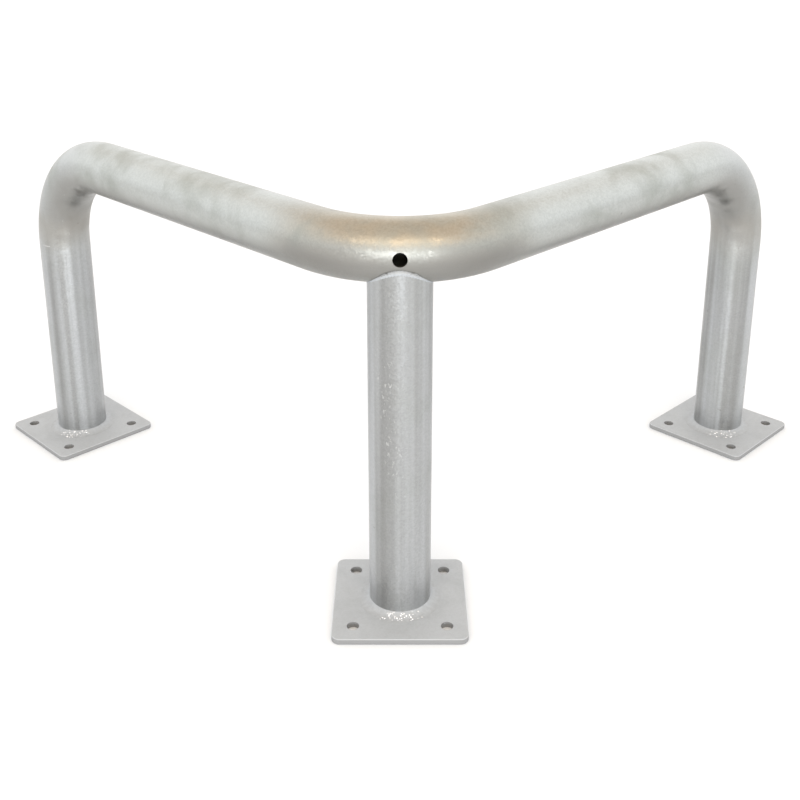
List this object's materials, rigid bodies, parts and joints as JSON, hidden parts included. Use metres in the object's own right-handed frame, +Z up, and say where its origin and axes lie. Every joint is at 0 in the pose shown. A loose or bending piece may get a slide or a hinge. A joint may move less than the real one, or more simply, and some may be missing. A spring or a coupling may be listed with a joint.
{
  "type": "corner protection hoop",
  "caption": "Right-angled guard hoop of bent steel tube on bolted base plates, with a post under its corner, that keeps vehicles off a corner.",
  "frame": {"origin": "on the axis of the corner post, at ground level, in the middle of the corner plate's underside", "axes": "+Z up; the arms run along +X and +Y from the corner, and the guarded corner is on the +X +Y side"},
  "size_m": [0.72, 0.72, 0.3999],
  "materials": {
    "galvanised_tube": "hot-dip galvanised, satin with cloudy patches",
    "galvanised_plate": "hot-dip galvanised, matte",
    "weld_bead": "galvanised weld metal, rippled"
  },
  "bodies": {
    "root": {"hoop_tube": "galvanised_tube", "corner_post": "galvanised_tube", "saddle_weld": "weld_bead", "corner_plate": "galvanised_plate", "right_plate": "galvanised_plate", "left_plate": "galvanised_plate", "corner_foot_weld": "weld_bead", "right_foot_weld": "weld_bead", "left_foot_weld": "weld_bead"}
  },
  "joints": []
}
